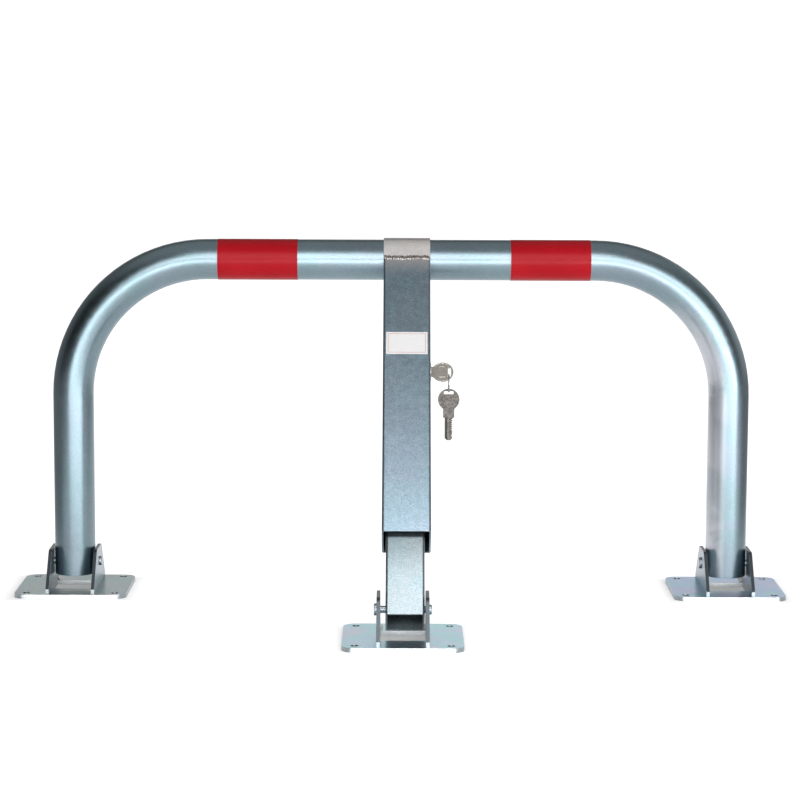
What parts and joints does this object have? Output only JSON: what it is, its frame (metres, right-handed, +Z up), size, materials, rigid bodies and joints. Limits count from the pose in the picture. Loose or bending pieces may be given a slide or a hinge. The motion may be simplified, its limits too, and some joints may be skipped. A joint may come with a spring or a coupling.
{
  "type": "folding parking lock",
  "caption": "Hinged tubular parking barrier held upright by a telescoping lockable strut, on three bolt-down feet.",
  "frame": {"origin": "on the ground, at the middle of the box round the part: midway between the hoop plane and the strut foot", "axes": "+X along the hoop bar, +Y backwards, the way the hoop folds down, +Z up; the strut foot is at -Y"},
  "size_m": [0.9194, 0.411, 0.4263],
  "materials": {
    "tube_zinc": "blue-passivated zinc, satin",
    "plate_zinc": "blue-passivated zinc with faint iridescence",
    "ear_zinc": "blue-passivated zinc, darker, sheared edges",
    "rivet_zinc": "zinc, satin",
    "weld_metal": "rippled weld bead under zinc",
    "red_film": "saturated red self-adhesive film",
    "sleeve_zinc": "blue-passivated zinc, fine speckle",
    "strap_zinc": "heat-tinted zinc, brownish grey",
    "post_zinc": "blue-passivated zinc, coarse speckle",
    "label_film": "white film with a thin pale red frame, blank",
    "lock_nickel": "nickel plate",
    "lock_steel": "zinc-plated steel",
    "key_nickel": "worn nickel plate, warm grey",
    "ring_steel": "spring steel wire"
  },
  "bodies": {
    "feet": {"left_base_plate": "plate_zinc", "left_foot_left_ear": "ear_zinc", "left_foot_right_ear": "ear_zinc", "left_hinge_rivet": "rivet_zinc", "left_foot_welds": "weld_metal", "right_base_plate": "plate_zinc", "right_foot_left_ear": "ear_zinc", "right_foot_right_ear": "ear_zinc", "right_hinge_rivet": "rivet_zinc", "right_foot_welds": "weld_metal", "centre_base_plate": "plate_zinc", "centre_foot_left_ear": "ear_zinc", "centre_foot_right_ear": "ear_zinc", "centre_hinge_rivet": "rivet_zinc", "centre_foot_welds": "weld_metal"},
    "bow": {"bow_tube": "tube_zinc", "left_reflective_band": "red_film", "right_reflective_band": "red_film"},
    "strut": {"strut_sleeve": "sleeve_zinc", "bow_strap": "strap_zinc", "strap_weld_front": "weld_metal", "strap_weld_rear": "weld_metal", "label": "label_film", "lock_housing": "lock_nickel", "lock_nut": "lock_nickel"},
    "post": {"inner_post": "post_zinc"},
    "lock_core": {"lock_plug": "lock_nickel", "lock_cam": "lock_steel", "cam_screw": "lock_steel", "inserted_key": "key_nickel"},
    "ring": {"key_ring": "ring_steel"},
    "spare": {"spare_key": "key_nickel"}
  },
  "joints": [
    {"name": "bow_fold", "type": "hinge", "parent": "feet", "child": "bow", "pos_m": [0, 0.1415, 0.0345], "axis": [-1, 0, 0], "range_deg": [0, 90]},
    {"name": "strut_swivel", "type": "hinge", "parent": "bow", "child": "strut", "pos_m": [0.0063, 0.1415, 0.4], "axis": [-1, 0, 0], "range_deg": [-37.87, 0]},
    {"name": "post_fold", "type": "hinge", "parent": "feet", "child": "post", "pos_m": [0.005, -0.1415, 0.0345], "axis": [-1, 0, 0], "range_deg": [0, 52.15]},
    {"name": "key_turn", "type": "hinge", "parent": "strut", "child": "lock_core", "pos_m": [0.0338, 0.04455, 0.27651], "axis": [1, 0, 0], "range_deg": [0, 90]},
    {"name": "ring_swing", "type": "hinge", "parent": "lock_core", "child": "ring", "pos_m": [0.0553, 0.04258, 0.27399], "axis": [1, 0, 0], "range_deg": [-75, 1]},
    {"name": "spare_key_swing", "type": "hinge", "parent": "ring", "child": "spare", "pos_m": [0.0553, 0.04258, 0.25359], "axis": [0, 1, 0], "range_deg": [-25, 25]}
  ],
  "couplings": [
    {"joint": "strut_swivel", "follows": "bow_fold", "ratio": -0.4207},
    {"joint": "post_fold", "follows": "bow_fold", "ratio": 0.5793}
  ]
}
